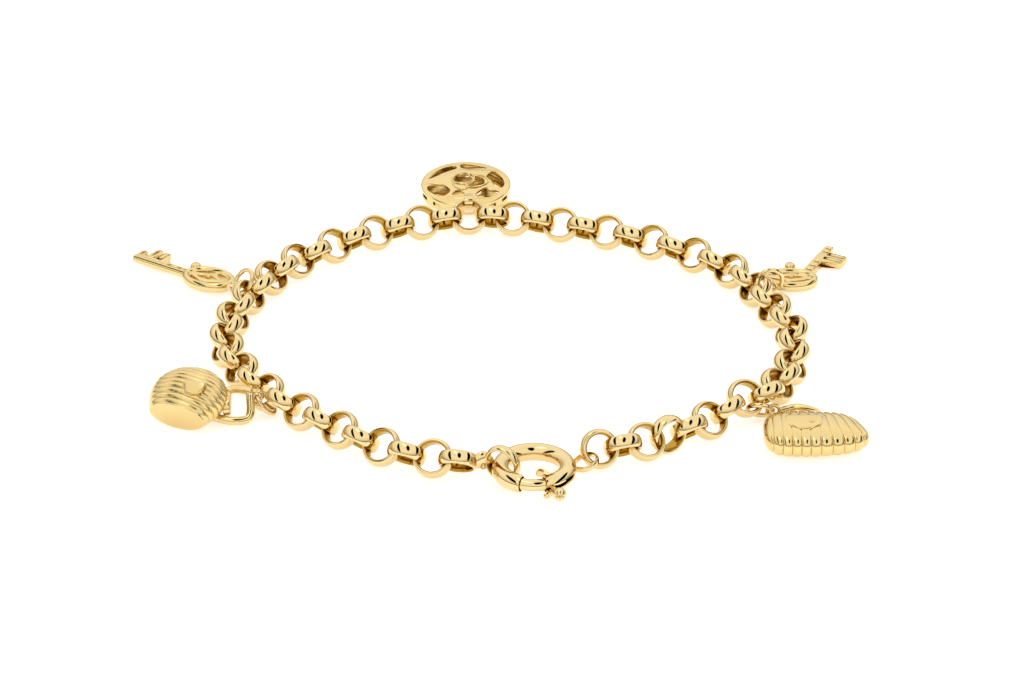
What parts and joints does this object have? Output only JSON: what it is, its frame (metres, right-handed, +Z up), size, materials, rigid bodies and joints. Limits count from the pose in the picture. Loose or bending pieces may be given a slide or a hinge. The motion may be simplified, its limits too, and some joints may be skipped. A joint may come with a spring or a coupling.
{
  "type": "charm bracelet",
  "caption": "Round belcher chain bracelet with a bolt ring clasp and hanging charms: keys, little bags and a pierced medallion.",
  "frame": {"origin": "middle of the bracelet's footprint, on the surface it lies on", "axes": "+Z up from the surface; the clasp is on the -Y side and the medallion on the +Y side; +X to the right as seen from the clasp"},
  "size_m": [0.0792, 0.0766, 0.0052],
  "materials": {
    "gold": "polished yellow gold"
  },
  "bodies": {
    "bracelet": {"bolt_ring": "gold", "chain_right": "gold", "chain_left": "gold", "end_connector": "gold", "medallion": "gold", "left_key": "gold", "right_key": "gold", "ribbed_bag": "gold", "pleated_bag": "gold", "left_key_ring": "gold", "right_key_ring": "gold", "ribbed_bag_ring": "gold", "pleated_bag_ring": "gold"},
    "trigger_bolt": {"clasp_bolt": "gold"}
  },
  "joints": [
    {"name": "clasp_slide", "type": "hinge", "parent": "bracelet", "child": "trigger_bolt", "pos_m": [0.00461, -0.03242, 0.00151], "axis": [0, 0, 1], "range_deg": [0, 36], "stiffness_Nm_per_rad": 0.004, "springref_deg": -20.05}
  ]
}
